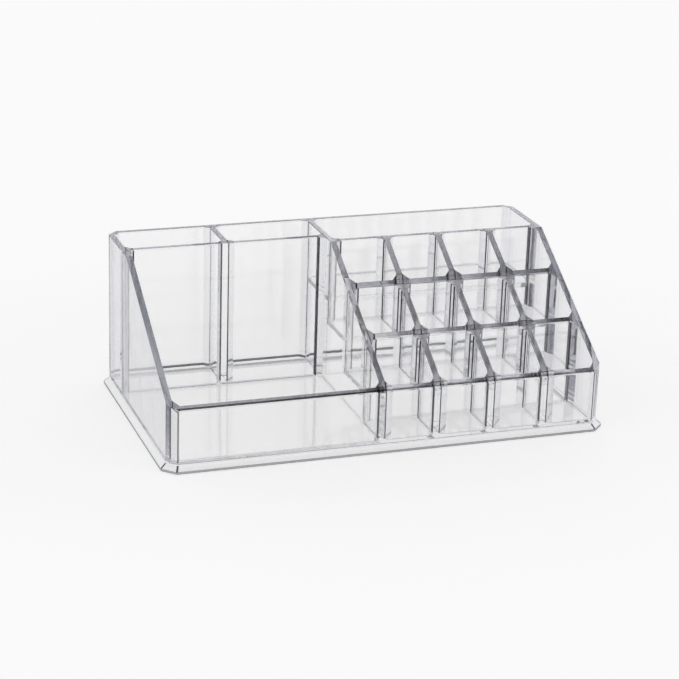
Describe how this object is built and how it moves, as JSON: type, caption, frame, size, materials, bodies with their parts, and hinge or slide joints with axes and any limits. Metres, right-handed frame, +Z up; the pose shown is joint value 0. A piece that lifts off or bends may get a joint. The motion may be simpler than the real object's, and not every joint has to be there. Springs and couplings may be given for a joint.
{
  "type": "vanity organizer",
  "caption": "Clear countertop organizer with tall rear wells, a low open front tray and a stepped rack of lipstick cells under a sloped rim, on a flared foot.",
  "frame": {"origin": "on the standing surface, under the middle of the organizer's footprint", "axes": "+X to the right along the length, +Y from the front to the back, +Z up"},
  "size_m": [0.225, 0.13, 0.08],
  "materials": {
    "clear_plastic": "clear, polished"
  },
  "bodies": {
    "root": {"base_tray": "clear_plastic", "right_side_wall": "clear_plastic", "left_side_wall": "clear_plastic", "back_wall": "clear_plastic", "front_wall": "clear_plastic", "rack_side_wall": "clear_plastic", "well_front_wall": "clear_plastic", "well_divider": "clear_plastic", "front_riser": "clear_plastic", "rear_riser": "clear_plastic", "rack_rear_wall": "clear_plastic", "front_row_divider_1": "clear_plastic", "front_row_divider_2": "clear_plastic", "front_row_divider_3": "clear_plastic", "middle_row_divider_1": "clear_plastic", "middle_row_divider_2": "clear_plastic", "middle_row_divider_3": "clear_plastic", "rear_row_divider_1": "clear_plastic", "rear_row_divider_2": "clear_plastic", "rear_row_divider_3": "clear_plastic", "middle_row_floor": "clear_plastic", "rear_row_floor": "clear_plastic", "rear_well_floor": "clear_plastic"}
  },
  "joints": []
}
